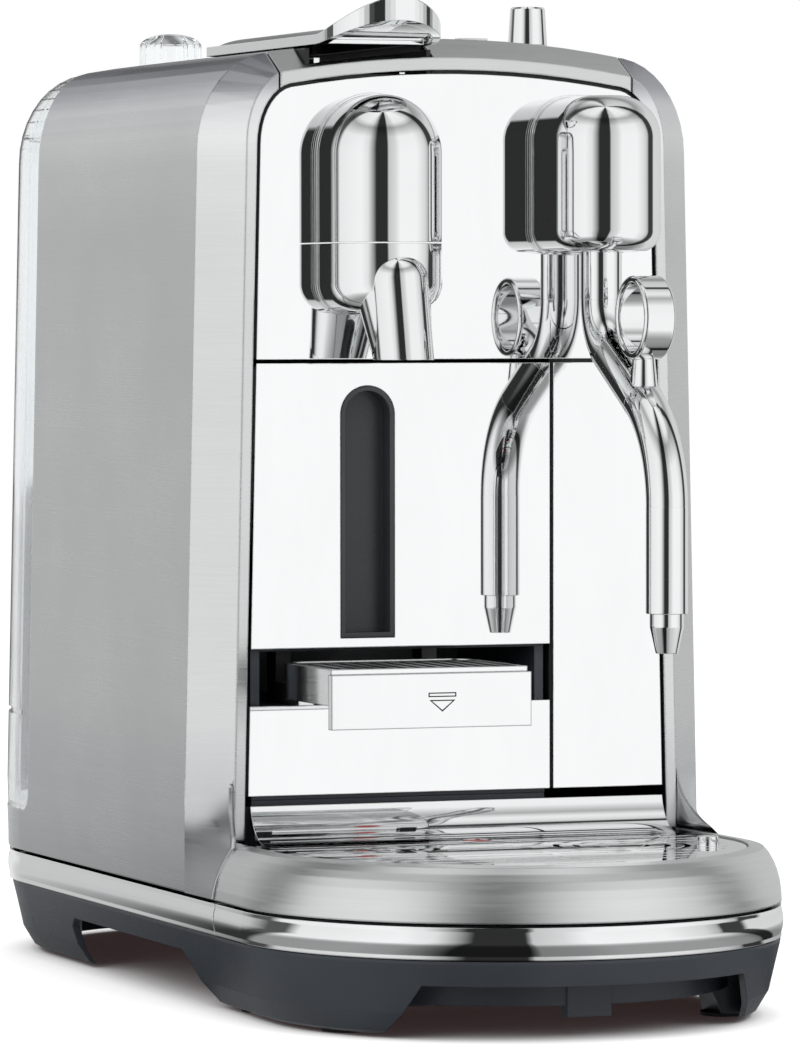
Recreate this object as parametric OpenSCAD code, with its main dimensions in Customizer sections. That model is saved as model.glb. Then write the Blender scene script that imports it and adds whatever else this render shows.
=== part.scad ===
// Pod coffee machine with a steam wand, a pull-out drip tray and a rear water tank.
// Millimetres. X to the right, the front faces -Y, Z up. The origin is the centre of
// the footprint at the level that the machine stands on.

/* [Overall] */
// Width of the body at its flared foot
width = 170; // [150:1:200]
// Depth from the tray's front to the tank's back
depth = 393; // [350:1:450]
// Height up to the lever's tip
height = 308; // [285:1:345]

/* [Body] */
// Distance from the tray's front edge to the mirror front
front_reach = 123; // [110:1:135]
// How much each side leans in between foot and shoulder
flare = 4.4; // [1:0.2:7]
// Width of the bevel round the front
bevel = 12; // [8:0.5:14]
// Thickness of the steel skin
sheet = 1.2; // [0.8:0.1:1.6]
// Gap between the front panels
panel_gap = 1.2; // [0.8:0.1:2]
// Level of the upper edge of the capsule door
door_top = 197; // [190:1:200]

/* [Heads] */
// Centre of lever, coffee head and cup support
brew_x = -28.5; // [-32:0.5:-24]
// Centre of steam head and wand
steam_x = 41; // [38:0.5:44]
// Diameter of the steam wand
wand_d = 12.8; // [10:0.2:13.6]
// Forward reach of the wand below its bends
wand_reach = 52; // [44:1:58]
// Length of the lever from hinge end to tip
lever_l = 134; // [120:1:140]
// Width of the lever
lever_w = 37; // [30:1:40]

/* [Tray] */
// Level of the drip grid's top
grid_z = 51; // [48:0.5:53]
// Height of the chrome band
band_h = 9.6; // [7:0.2:11]
// Width of the cup support
support_w = 64; // [56:1:68]
// How far the cup support stands out
support_out = 50; // [40:1:54]

/* [Hidden] */
$fn = 72;

fit = 0.3;      // running clearance between bodies
eps = 0.01;
half_w = width / 2;
front_y = -depth / 2;
rear_y = depth / 2;
panel_y = front_y + front_reach;      // front plane of the steel frame
bevel_y = panel_y + bevel;            // where the bevel meets the side
rear_c = rear_y - half_w;             // axis of the rounded back
tray_r = half_w - 1;                  // round front of the tray
tray_c = front_y + tray_r;            // its axis
base_h = 24;                          // top of the dark base
band_z = base_h + 0.3;
skin_z = band_z + band_h + 1.2;       // lower edge of the steel skin
top_z = height - 11;                  // crest of the top panel
flare_z = 58;                         // widest level
shoulder_z = top_z - 35;              // side turns into the shoulder here
top_half = half_w - flare;

// ---- outlines of the body, seen from the front (x, z) ----
function arc(n, a0, a1, cx, cz, rx, rz) =
  [for (i = [0 : n]) let (a = a0 + (a1 - a0) * i / n) [cx + rx * cos(a), cz + rz * sin(a)]];
function crown(n, x1, z1, zt) = let (r = (x1 * x1 + pow(zt - z1, 2)) / (2 * (zt - z1)))
  [for (i = [1 : n]) let (x = x1 * (1 - i / n)) [x, zt - r + sqrt(r * r - x * x)]];
function half_outline(hw, hb, rx, rz, zs, zt, zb) = let (
    s = arc(9, 0, 82, hw - rx, zs, rx, rz), e = s[9])
  concat([[0, zb], [hb - 0.6, zb], [hb, flare_z]], s, crown(6, e[0], e[1], zt));
body_pts = half_outline(top_half, half_w, 24, 30, shoulder_z, top_z, skin_z);
face_pts = half_outline(top_half - bevel, half_w - bevel, 14, 22, shoulder_z + 2,
  top_z - 6.3, skin_z);
gap_pts = half_outline(top_half - bevel - 3.3, half_w - bevel - 3.3, 12.5, 19,
  shoulder_z + 1.5, top_z - 10, skin_z);

module both(pts) { polygon(pts); mirror([1, 0]) polygon(pts); }
module body_2d(ins = 0) { offset(delta = -ins) both(body_pts); }
module face_2d(ins = 0) { offset(delta = -ins) both(face_pts); }
module gap_2d(ins = 0) { offset(delta = -ins) both(gap_pts); }
module along_y(y0, y1) { translate([0, y1, 0]) rotate([90, 0, 0]) linear_extrude(y1 - y0) children(); }
module along_x(x0, x1) {
  translate([x0, 0, 0]) rotate([90, 0, 90]) linear_extrude(x1 - x0) children();
}
module box(x0, x1, y0, y1, z0, z1) { translate([x0, y0, z0]) cube([x1 - x0, y1 - y0, z1 - z0]); }

// a shell between two insets of the body form, open below, as three clean lengths:
// 0 the beveled front, 1 the straight sides, 2 the round back
module open_2d(a, b, z0) {
  difference() {
    children();
    translate([-(half_w - 0.6 - b), z0 - 5]) square([2 * (half_w - 0.6 - b), 5 + b + 0.5]);
  }
}
module body_ring_2d(a, b) {
  open_2d(a, b, skin_z) difference() { body_2d(a); body_2d(b); }
}
module bevel_form(ins, extra = 0) {
  hull() {
    along_y(panel_y + ins, panel_y + ins + eps) face_2d(ins);
    along_y(bevel_y - eps + extra, bevel_y + extra) body_2d(ins);
  }
}
module shell_length(part, a, b) {
  if (part == 0) difference() {
    bevel_form(a);
    bevel_form(b, 0.02);
    along_y(panel_y + b, bevel_y + 1) translate([-(half_w - bevel - 1.7), skin_z - 5])
      square([2 * (half_w - bevel - 1.7), 5 + b + 1]);
  }
  if (part == 1) along_y(bevel_y, rear_c) body_ring_2d(a, b);
  if (part == 2) translate([0, rear_c, 0]) rotate_extrude(angle = 180, $fn = 96)
    intersection() {
      body_ring_2d(a, b);
      square([width, height + 20]);
    }
}

// ---- tank zone, seen from the side (y, z) ----
tank_y = rear_c - 11;                 // side skin ends, tank starts
tank_z = 48.6;                        // underside of the tank
dock_z = tank_z - 0.6;
tank_corner = 7;                      // lower front corner of the tank, seen from the side
module tank_zone(grow = 0) {
  along_x(-width, width) polygon(concat(
    [for (i = [0 : 6]) let (a = 90 * i / 6)
      [tank_y - grow + tank_corner * (1 - sin(a)), tank_z - grow + tank_corner * (1 - cos(a))]],
    [[tank_y - grow, shoulder_z + 5]],
    [for (i = [1 : 8]) let (a = 90 * i / 8)
      [tank_y - grow + 27 * (1 - cos(a)), shoulder_z + 5 + 30 * sin(a)]],
    [[tank_y + 27 - grow, height + 20], [rear_y + 20, height + 20], [rear_y + 20, tank_z - grow]]));
}
// joint between the tray assembly and the cheeks of the body
joint_y = panel_y - 13.5;
module tray_cut(gap = 0) {
  along_x(-width, width) polygon([[rear_y + 50, -5], [joint_y - 7 + gap, -5],
    [joint_y - 7 + gap, 2], [joint_y + gap, base_h], [joint_y + gap, skin_z],
    [joint_y - 6 + gap, grid_z + 1], [joint_y - 6 + gap, grid_z + 30],
    [rear_y + 50, grid_z + 30]]);
}

// ---- lever geometry ----
lever_tip = panel_y - 26.5;
lever_rear = lever_tip + lever_l;
lever_z = top_z + 0.2;                // top of the lever's rim
lever_t = 3;
bend_y = lever_tip + 26;
bend_rise = height - lever_z;
bend_r = (26 * 26 + bend_rise * bend_rise) / (2 * bend_rise);
lip_r = bend_r + 18;                  // underside of the lip, flatter than the bend
pin_y = lever_rear - 9.5;
pin_z = lever_z - 7;
pin_d = 4;
lug_r = 3.6;                          // lugs stay inside the lever's turning circle
recess_w = lever_w + 4;
recess_r = 8;
recess_y = lever_rear + 4.8;          // the lever's rear end dips here as it swings up
module tongue_2d(ins = 0) {
  translate([brew_x, 0]) offset(delta = -ins) union() {
    translate([0, lever_tip + lever_w / 2]) circle(d = lever_w);
    translate([-lever_w / 2, lever_tip + lever_w / 2])
      square([lever_w, lever_l - lever_w / 2 - 6]);
    translate([0, lever_rear - 9]) scale([1, 0.5]) circle(d = lever_w);
  }
}
module recess_2d(ins = 0) {
  translate([brew_x, 0]) {
    translate([-recess_w / 2 + ins, panel_y - 20])
      square([recess_w - 2 * ins, recess_y - panel_y + 20 - recess_r]);
    translate([-recess_w / 2 + recess_r, panel_y - 20])
      square([recess_w - 2 * recess_r, recess_y - panel_y + 20 - ins]);
    for (s = [-1, 1]) translate([s * (recess_w / 2 - recess_r), recess_y - recess_r])
      circle(r = recess_r - ins);
  }
}

// ================= steel skin =================
seam_x = 58.3;
module skin_length(part) {
  difference() {
    shell_length(part, 0, sheet);
    if (part == 0) along_y(panel_y - 1, panel_y + 3) gap_2d();
    if (part > 0) tank_zone(0);
    if (part == 0) tray_void();
  }
}
// room for the tray between the cheeks
module tray_void() {
  box(-tray_half - 3, tray_half + 3, joint_y - 15, bevel_y + 2, skin_z - 2, grid_z + 0.4);
}
// cheek: the skirt of the side carried forward to meet the tray
module cheek() {
  intersection() {
    mirror([1, 0, 0]) along_y(joint_y - 10, bevel_y - 0.2) skirt_2d();
    tray_cut();
  }
}
module side_panel() {
  for (part = [0 : 2]) intersection() {
    skin_length(part);
    union() {
      box(-width, -seam_x, panel_y - 5, rear_y + 5, skin_z - 1, height);
      if (part == 2) box(-width, -24.5, rear_c - 1, rear_y + 5, skin_z - 1, dock_z);
    }
  }
  cheek();
  // skirt of the side below the tank
  along_y(tank_y, rear_c) intersection() {
    body_ring_2d(0, sheet);
    translate([-width, skin_z - 1]) square([width - seam_x, dock_z - skin_z + 1]);
  }
}
module left_side_panel() { color("silver") side_panel(); }
module right_side_panel() { color("silver") mirror([1, 0, 0]) side_panel(); }
module top_panel() {
  color("gainsboro") difference() {
    for (part = [0 : 2]) intersection() {
      skin_length(part);
      box(-seam_x + 0.6, seam_x - 0.6, panel_y - 5, rear_y, shoulder_z, height);
    }
    translate([0, 0, top_z - 6.2]) linear_extrude(30) recess_2d(-0.3);
    translate([0, 0, bezel_z - 1]) linear_extrude(30) intersection() {
      recess_2d(-0.3);
      translate([-width, wall_y - 0.3]) square([2 * width, depth]);
    }
    translate([dial_x, dial_y, top_z - 15]) cylinder(d = 8, h = 30);
    translate([button_x, dial_y, top_z - 15]) cylinder(d = 11, h = 30);
    box(screen_x - 15, screen_x + 15, screen_y - 9, screen_y + 9, top_z - 15, height);
  }
}
module rear_cover() {
  color("dimgray") difference() {
    intersection() {
      shell_length(2, 0, 2);
      box(-24, 24, rear_c, rear_y + 5, skin_z - 1, dock_z);
    }
    translate([0, rear_y + 5, inlet_z]) rotate([90, 0, 0]) cylinder(d = 8, h = 20);
  }
}
inlet_z = skin_z + 7;
module mains_inlet() {
  color("black") translate([0, rear_y, inlet_z]) rotate([90, 0, 0]) difference() {
    union() {
      translate([0, 0, 1.2]) cylinder(d = 7.6, h = 8);
      translate([0, 0, 2.9]) cylinder(d = 11, h = 3);
    }
    translate([0, 0, -1]) cylinder(d = 5.4, h = 7);
  }
}

// ================= chassis =================
wall_y = panel_y + 2.4;               // front face of the bezel wall
bay_x0 = -(half_w - bevel - 3.3 - 2); // drawer bay, left
bay_x1 = 31.2;                        // drawer bay, right
bay_back = panel_y + 80;
bay_top = door_top + 1.4;
tray_half = 70;                       // half width of the basin in the bay
module bay_2d(grow = 0) {
  translate([bay_x0 - grow, grid_z + 8]) square([bay_x1 - bay_x0 + 2 * grow, bay_top - grid_z - 8 + grow]);
  translate([-tray_half - 1, 0]) square([2 * tray_half + 2, grid_z + 14]);
}
module housing() {
  along_y(wall_y, wall_y + 3) difference() { face_2d(1.6); bay_2d(); }
  along_y(wall_y + 3, bevel_y + 3.2) difference() { face_2d(1.6); face_2d(4.4); bay_2d(); }
  along_y(bevel_y + 0.2, bevel_y + 3.2) difference() {
    body_2d(sheet + 0.3);
    face_2d(4.4);
    bay_2d();
    square([width, 2 * skin_z + 8], center = true);
  }
  along_y(bevel_y + 3.2, tank_y - 3.2) body_ring_2d(sheet + 0.3, sheet + 3);
  along_y(tank_y - 3.2, tank_y - 0.2) body_2d(sheet + 0.3);
  box(-half_w + 4, half_w - 4, bay_back, tank_y - 3.2, skin_z, skin_z + 4);
  // liner of the drawer bay
  along_y(wall_y + 3, bay_back) difference() {
    translate([bay_x0 - 2.5, grid_z + 14]) square([bay_x1 - bay_x0 + 5, bay_top - grid_z - 11.5]);
    bay_2d();
  }
  along_y(bay_back, bay_back + 2.5) translate([bay_x0 - 2.5, skin_z])
    square([bay_x1 - bay_x0 + 5, bay_top + 2.5 - skin_z]);
  box(brew_x - 16, brew_x + 16, recess_y + 0.4, recess_y + 3.4, bezel_z - 6, top_z - 5);
}
module pin_lugs() {
  for (s = [-1, 1]) translate([brew_x + s * 12.5, pin_y, 0]) along_x(-2.5, 2.5) {
    translate([0, pin_z]) circle(r = lug_r);
    translate([-lug_r, bezel_z - 6]) square([2 * lug_r, pin_z - bezel_z + 6]);
    translate([-lug_r, bezel_z - 6]) square([recess_y + 3.4 - pin_y + lug_r, 5.2]);
  }
}
module lever_well() {
  box(brew_x - recess_w / 2 - 0.2, brew_x + recess_w / 2 + 0.2, wall_y - 1, recess_y + 0.2,
    bezel_z - 0.2, height);
}
module chassis() {
  color("#26282b") difference() {
    union() {
      difference() {
        housing();
        lever_well();
      }
      pin_lugs();
    }
    // holes of the controls
    box(brew_x - 17, brew_x + 17, slot_y - 12, slot_y + 10, bay_top - 1, bay_top + 4);
    translate([dial_x, dial_y, top_z - 30]) cylinder(d = 6.6, h = 40);
    translate([button_x, dial_y, top_z - 30]) cylinder(d = 11, h = 40);
    box(screen_x - 15, screen_x + 15, screen_y - 9, screen_y + 9, top_z - 12, height);
    translate([brew_x - 30, pin_y, pin_z]) rotate([0, 90, 0])
      cylinder(d = pin_d, h = 60);
  }
}
module upper_front_panel() {
  color("white") intersection() {
    along_y(panel_y + 0.4, wall_y) gap_2d(panel_gap);
    box(-width, width, panel_y, wall_y, door_top + panel_gap, height);
  }
}
module front_piece(x0, x1, z0, z1) {
  intersection() {
    along_y(panel_y + 0.4, wall_y) gap_2d(panel_gap);
    box(x0, x1, panel_y, wall_y, z0, z1);
  }
}
split_x = 31.2;                       // upright joint right of the capsule door
sill_z = 65;                          // lower edge of the lower panels
module right_lower_panel() {
  color("white") front_piece(split_x + panel_gap / 2, width, sill_z, door_top);
}

// ================= base =================
pad_h = 1.2;                          // rubber pad below the base
base_pts = [[0, pad_h], [half_w - 11, pad_h], [half_w - 9, pad_h + 1], [half_w - 5.5, 8],
  [half_w - 2, base_h - 1], [half_w - 2, base_h], [0, base_h]];
module base_2d(ins = 0) { offset(delta = -ins) both(base_pts); }
module rear_form(ins = 0) {
  along_y(panel_y - 30, rear_c) base_2d(ins);
  translate([0, rear_c, 0]) rotate_extrude(angle = 180, $fn = 96) intersection() {
    base_2d(ins);
    square([width, height]);
  }
}
arch_z = 16.5;
base_wall = 3.2;                      // wall of the hollow base, open below
module rear_base() {
  color("#3b4048") difference() {
    intersection() { rear_form(); tray_cut(0.3); }
    // hollow from below, with bosses over the rubber pads
    difference() {
      translate([0, 0, -base_wall - 0.4]) intersection() { rear_form(base_wall); tray_cut(4); }
      for (p = rear_pads, s = [-1, 1]) translate([s * p[0], p[1], 0]) cylinder(d = pad_d + 3, h = base_h);
    }
    for (p = rear_pads, s = [-1, 1]) translate([s * p[0], p[1], 0]) cylinder(d = 5, h = 7.3);
    // side arches
    along_x(-width, width) polygon([[rear_c - 50, -1], [rear_c - 46, arch_z - 3],
      [rear_c - 50, arch_z], [panel_y + 25, arch_z], [panel_y + 21, arch_z - 2.5],
      [panel_y + 6, 3], [panel_y + 3, -1]]);
    // room for the basin
    box(-tray_half - 1, tray_half + 1, panel_y - 40, bay_back, base_h - 0.6, skin_z + 5);
  }
}
// band shape: straight sides and round back
module ring_form(r, z0, z1) {
  box(-r, r, joint_y + 0.3, rear_c, z0, z1);
  translate([0, rear_c, z0]) cylinder(r = r, h = z1 - z0, $fn = 96);
}
module band_2d() {
  translate([half_w - 4.2, band_z]) square([3.2, band_h]);
  intersection() {
    translate([half_w - 11, band_z + band_h / 2]) circle(r = 10.6);
    translate([half_w - 4.2, band_z]) square([10, band_h]);
  }
}
module rear_band() {
  color("lightgray") {
    for (s = [0, 1]) mirror([s, 0, 0]) along_y(joint_y + 0.3, rear_c) band_2d();
    translate([0, rear_c, 0]) rotate_extrude(angle = 180, $fn = 96) band_2d();
    // rim behind the chrome
    difference() {
      ring_form(half_w - 4.1, band_z, band_z + band_h);
      ring_form(half_w - 7.4, band_z - 1, band_z + band_h + 1);
    }
  }
}
pad_d = 14;
rear_pads = [[half_w - 24, rear_c + 34], [half_w - 19.5, panel_y - 6]];
tray_pads = [half_w - 24, tray_c - 26];
module rubber(x, y) {
  translate([x, y, 0]) {
    cylinder(d = pad_d, h = pad_h);
    translate([0, 0, pad_h]) cylinder(d = 4.9, h = 6);
  }
}
module rear_foot() {
  color("#222") for (p = rear_pads, s = [-1, 1]) rubber(s * p[0], p[1]);
}
module round_and_straight(y0) {
  along_y(y0, rear_c) children();
  translate([0, rear_c, 0]) rotate_extrude(angle = 180, $fn = 96) intersection() {
    children();
    square([width, height + 20]);
  }
}
module level_2d(ins, z0, z1) {
  intersection() {
    body_2d(ins);
    translate([-width, z0]) square([2 * width, z1 - z0]);
  }
}
module tank_dock() {
  color("#26282b") difference() {
    round_and_straight(tank_y - 0.2) difference() {
      level_2d(sheet + 0.6, skin_z, dock_z);
      level_2d(sheet + 4, skin_z - 1, dock_z - 4);
      translate([-half_w + 5.2, skin_z - 1]) square([width - 10.4, dock_z - 3 - skin_z]);
    }
    translate([0, rear_c + 20, skin_z]) cylinder(d = 12.2, h = 30);
    box(-24.4, 24.4, rear_y - 10.5, rear_y + 3, skin_z - 1, dock_z + 1);
  }
}

// ================= heads =================
// a head that stands out from the front: round nose, rounded top and foot
module head_form(x, w, reach, z0, z1, rt, rb) {
  nose = panel_y - (reach - w);
  module prof() {
    intersection() {
      union() {
        translate([0, z0 + rb]) square([w, z1 - z0 - rt - rb]);
        square_to(w - rt, z1);
        square_to(w - rb, z0 + rb + 1);
        translate([w - rt, z1 - rt]) circle(r = rt);
        translate([w - rb, z0 + rb]) circle(r = rb);
      }
      translate([0, z0]) square([w + 1, z1 - z0]);
    }
  }
  module square_to(w2, z2) { translate([0, z0]) square([max(w2, 0.5), z2 - z0]); }
  translate([x, nose, 0]) rotate_extrude($fn = 96) prof();
  translate([x, 0, 0]) along_y(nose, panel_y + 0.4) { prof(); mirror([1, 0]) prof(); }
}
module head_flange(x, w, reach, z0, z1, rt, rb) {
  intersection() {
    head_form(x, w + 0.7, reach, z0 - 0.7, z1 + 0.7, rt + 0.7, rb + 0.7);
    box(x - 40, x + 40, panel_y - 1.3, panel_y + 0.4, z0 - 5, z1 + 5);
  }
}
coffee_w = 18;
coffee_reach = 29;
coffee_z0 = door_top + 15.5;
coffee_split = coffee_z0 + 21;
coffee_z1 = top_z - 18;
coffee_foot = 9;
module coffee_form() {
  head_form(brew_x, coffee_w, coffee_reach, coffee_z0, coffee_z1, coffee_w, coffee_foot);
  head_flange(brew_x, coffee_w, coffee_reach, coffee_z0, coffee_z1, coffee_w, coffee_foot);
}
module coffee_head_upper() {
  color("silver") intersection() {
    coffee_form();
    box(brew_x - 40, brew_x + 40, panel_y - 60, panel_y + 0.4, coffee_split + 0.3, height);
  }
}
spout_y = panel_y - 28.6;
spout_z = door_top + 1.2;
spout_r = 9.2;
spout_wall = 2.2;
spout_l = coffee_split - spout_z - 11.2;
spout_tilt = 12;                      // the nozzle leans forward out of the head
flare_tilt = 24;
module nozzle() {
  intersection() {
    translate([brew_x, spout_y, spout_z]) {
      rotate([-spout_tilt, 0, 0]) {
        translate([0, 0, -4]) cylinder(r = spout_r, h = spout_l + 4);
        translate([0, 0, spout_l - 0.02]) sphere(r = spout_r, $fn = 96);
      }
      rotate([-flare_tilt, 0, 0]) translate([0, 0, -5]) cylinder(r1 = spout_r - 0.9,
        r2 = spout_r + 2, h = 25);
    }
    box(brew_x - 40, brew_x + 40, panel_y - 60, panel_y - 3, spout_z, coffee_split);
  }
}
module coffee_head_lower() {
  color("silver") difference() {
    union() {
      intersection() {
        coffee_form();
        box(brew_x - 40, brew_x + 40, panel_y - 60, panel_y + 0.4, coffee_z0 - 2, coffee_split);
      }
      nozzle();
    }
    translate([brew_x, spout_y, spout_z - 1]) cylinder(r = spout_r - spout_wall, h = 6);
  }
}
module spout() {
  color("lightgray") difference() {
    translate([brew_x, spout_y, spout_z + 1]) cylinder(r = spout_r - spout_wall - 0.05, h = 3.9);
    for (s = [-1, 1]) translate([brew_x + s * 3.4, spout_y, spout_z]) cylinder(r = 2.2, h = 10);
  }
}
steam_w = 17;
steam_reach = 36.5;
steam_z1 = top_z - 18;
steam_z0 = steam_z1 - 48;
wand_y = panel_y - 16.3;
pivot_z = steam_z0 + 14;
pivot_r = 8.4;
lift = 22;                            // how far the wand swings forward
module steam_head() {
  color("silver") head_flange(steam_x, steam_w, steam_reach, steam_z0, steam_z1, 13, 6.5);
  color("silver") difference() {
    head_form(steam_x, steam_w, steam_reach, steam_z0, steam_z1, 13, 6.5);
    // seat of the ball and the slot that the wand swings in
    translate([steam_x, wand_y, pivot_z]) sphere(r = pivot_r + fit);
    translate([steam_x, wand_y, 0]) along_x(-wand_d / 2 - 0.5, wand_d / 2 + 0.5)
      polygon([[-wand_d / 2 - 0.6, pivot_z], [-wand_d / 2 - 0.6, steam_z0 - 1],
        [wand_d / 2 + 0.6, steam_z0 - 1], [wand_d / 2 + 0.6, pivot_z]]);
    translate([steam_x, wand_y, pivot_z]) along_x(-wand_d / 2 - 0.5, wand_d / 2 + 0.5)
      let (r = wand_d / 2 + 0.6, run = (15 + r * sin(lift)) / cos(lift))
      polygon([[0, 0], [-r * cos(lift), r * sin(lift)],
        [-r * cos(lift) - run * sin(lift), -15], [0, -15]]);
    translate([steam_x, wand_y, pivot_z]) rotate([0, 90, 0])
      cylinder(d = wand_d + 1.6, h = wand_d + 1, center = true);
  }
}
module wand_pivot() {
  color("gray") translate([steam_x, wand_y, pivot_z]) difference() {
    sphere(r = pivot_r);
    translate([0, 0, -20]) cylinder(d = wand_d, h = 20 - 3);
  }
}
bend1 = 20;
bend2 = 36;
run1 = (wand_reach - 0.5 * bend1 - 0.5 * bend2) / cos(30);
wand_a = steam_z0 - 14.6;             // first bend starts
wand_b = wand_a - (bend1 + bend2) * sin(60) - run1 * sin(30);
wand_end = door_top - 75;
// tube of radius r along the wand's route in its own upright plane
module wand_route(r, top) {
  y0 = wand_y;
  translate([steam_x, y0, wand_a]) cylinder(r = r, h = top - wand_a);
  translate([steam_x, y0 - bend1, wand_a]) rotate([90, 0, 90])
    rotate([0, 0, -61]) rotate_extrude(angle = 62) translate([bend1, 0]) circle(r = r - 0.03);
  p1y = y0 - bend1 + bend1 * cos(60);
  p1z = wand_a - bend1 * sin(60);
  translate([steam_x, p1y, p1z]) rotate([120, 0, 0]) cylinder(r = r, h = run1);
  p2y = p1y - run1 * cos(30);
  p2z = p1z - run1 * sin(30);
  translate([steam_x, p2y + bend2 * cos(60), p2z - bend2 * sin(60)]) rotate([90, 0, 90])
    rotate([0, 0, 119]) rotate_extrude(angle = 62) translate([bend2, 0]) circle(r = r - 0.03);
  p3y = p2y - bend2 * (1 - cos(60));
  translate([steam_x, p3y, wand_end]) cylinder(r = r, h = p2z - bend2 * sin(60) - wand_end);
}
module steam_wand() {
  color("silver") wand_route(wand_d / 2, pivot_z - 3);
}
tip_y = wand_y - wand_reach;
module steam_tip() {
  color("gray") translate([steam_x, tip_y, wand_end - 12]) difference() {
    union() {
      cylinder(r1 = 3.4, r2 = 5.2, h = 8);
      translate([0, 0, 8]) cylinder(r = 5.2, h = 4);
    }
    translate([0, 0, -1]) cylinder(d = 2.4, h = 8);
  }
}
ring_y = wand_y - 35;
ring_z = wand_a - 5.5;
ring_r = 12.7;
module wand_ring() {
  color("lightgray") difference() {
    union() {
      translate([steam_x, ring_y, ring_z]) rotate([0, 90, 0]) rotate_extrude($fn = 96)
        translate([ring_r - 1.2, 0]) union() {
          square([1.6, 8], center = true);
          square([2.4, 9.7 - 2], center = true);
          for (s = [-1, 1]) translate([0, s * 3.85]) circle(r = 1.2, $fn = 24);
        }
      translate([steam_x, ring_y + 1, ring_z - ring_r - 13.5]) cylinder(r1 = 4.8, r2 = 3.4, h = 14);
    }
    wand_route(wand_d / 2 + 0.05, pivot_z);
    translate([steam_x, ring_y, ring_z]) rotate([0, 90, 0])
      cylinder(r = ring_r - 2.4, h = 30, center = true);
    translate([steam_x - 10, ring_y - 10, ring_z - ring_r - 40]) cube([20, 22, 20.5]);
  }
}

// ================= lever =================
module bend_2d(t0, t1) {
  // (y, z): sheet between depth t0 and t1 below the lever's top face
  translate([bend_y, lever_z - t1]) square([lever_rear - bend_y, t1 - t0]);
  intersection() {
    translate([bend_y, lever_z + bend_r]) difference() {
      circle(r = bend_r + t1, $fn = 144);
      circle(r = bend_r + t0, $fn = 144);
    }
    translate([bend_y - 60, lever_z - 10]) square([60, 10 + bend_rise + 2]);
  }
}
module lever_shell() {
  color("silver") difference() {
    union() {
      intersection() {
        along_x(brew_x - lever_w, brew_x + lever_w) bend_2d(0, lever_t);
        translate([0, 0, lever_z - 20]) linear_extrude(60) tongue_2d();
      }
      for (s = [-1, 1]) translate([brew_x + s * 6, pin_y, 0]) along_x(-2.6, 2.6) {
        translate([-4.5, pin_z]) square([9, lever_z - lever_t - pin_z + 0.5]);
        translate([0, pin_z]) circle(r = 4.5);
      }
    }
    translate([brew_x - 20, pin_y, pin_z]) rotate([0, 90, 0]) cylinder(d = pin_d + 0.12, h = 40);
    // finger hollow on the underside of the tip
    intersection() {
      along_x(brew_x - lever_w, brew_x + lever_w) bend_2d(1.8, lever_t + 1);
      translate([0, 0, lever_z - 20]) linear_extrude(60) intersection() {
        tongue_2d(3);
        translate([brew_x - 30, lever_tip - 5]) square([60, 27]);
      }
    }
  }
  // lip round the tip, deeper towards its front
  color("silver") intersection() {
    along_x(brew_x - lever_w, brew_x + lever_w) intersection() {
      difference() {
        translate([bend_y, lever_z - lever_t + lip_r]) circle(r = lip_r, $fn = 144);
        translate([bend_y, lever_z + bend_r]) circle(r = bend_r + 0.5, $fn = 144);
      }
      translate([bend_y - 60, lever_z - 10]) square([60, 10 + bend_rise + 2]);
    }
    translate([0, 0, lever_z - 20]) linear_extrude(60) difference() {
      tongue_2d();
      tongue_2d(2.4);
    }
  }
}
inlay_r = 40;
module lever_inlay() {
  color("gray") {
    intersection() {
      translate([brew_x, 0, lever_z + 3.2 - inlay_r]) rotate([90, 0, 0])
        cylinder(r = inlay_r, h = 400, center = true, $fn = 160);
      translate([0, 0, lever_z]) linear_extrude(10) intersection() {
        tongue_2d(3);
        translate([brew_x - 40, bend_y]) square([80, lever_l]);
      }
    }
    intersection() {
      along_x(brew_x - lever_w, brew_x + lever_w) bend_2d(-1.2, 0);
      translate([0, 0, lever_z - 1]) linear_extrude(60) intersection() {
        tongue_2d(3);
        translate([brew_x - 40, lever_tip + 12]) square([80, 14]);
      }
    }
  }
}
module lever_pin() {
  color("gray") translate([brew_x - 14.5, pin_y, pin_z]) rotate([0, 90, 0])
    cylinder(d = pin_d, h = 29);
}
bezel_z = lever_z - 13.6;
slot_y = panel_y + 26;
module lever_bezel() {
  color("black") difference() {
    union() {
      translate([0, 0, bezel_z]) linear_extrude(2) intersection() {
        recess_2d(0);
        translate([brew_x - 40, wall_y]) square([80, lever_l + 30]);
      }
      difference() {
        translate([0, 0, bezel_z]) linear_extrude(9.6) intersection() {
          recess_2d(0);
          translate([brew_x - 40, wall_y]) square([80, lever_l + 30]);
        }
        translate([0, 0, bezel_z + 2]) linear_extrude(20) intersection() {
          recess_2d(1.4);
          translate([brew_x - 40, panel_y - 5]) square([80, lever_l + 60]);
        }
      }
    }
    // capsule slot and room for the hinge
    translate([brew_x, slot_y, bezel_z - 1]) linear_extrude(5) union() {
      square([30, 22], center = true);
    }
    box(brew_x - 18.6, brew_x + 18.6, pin_y - 6, recess_y - 2.4, bezel_z - 1, bezel_z + 3);
  }
}
module capsule_guide() {
  color("silver") for (s = [-1, 1]) box(brew_x + s * 14 - 1, brew_x + s * 14 + 1,
    slot_y - 16, slot_y - 12, bezel_z + 2, bezel_z + 7);
}
cage_y0 = wall_y + 3.2;
cage_y1 = cage_y0 + 62;
cage_z0 = bay_top + 3;
cage_z1 = bezel_z - 2.4;
module brew_cage() {
  color("dimgray") difference() {
    box(brew_x - 25, brew_x + 25, cage_y0, cage_y1, cage_z0, cage_z1);
    box(brew_x - 20, brew_x + 20, cage_y0 + 4, cage_y1 + 1, cage_z0 + 14, cage_z1 + 1);
    translate([brew_x, cage_y0 - 1, cage_z0 + 40]) rotate([-90, 0, 0]) cylinder(d = 9, h = 20);
    // capsules drop into the bin below
    box(brew_x - 17, brew_x + 17, slot_y - 12, slot_y + 10, cage_z0 - 1, cage_z0 + 20);
  }
}
piston_travel = 12;
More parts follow.
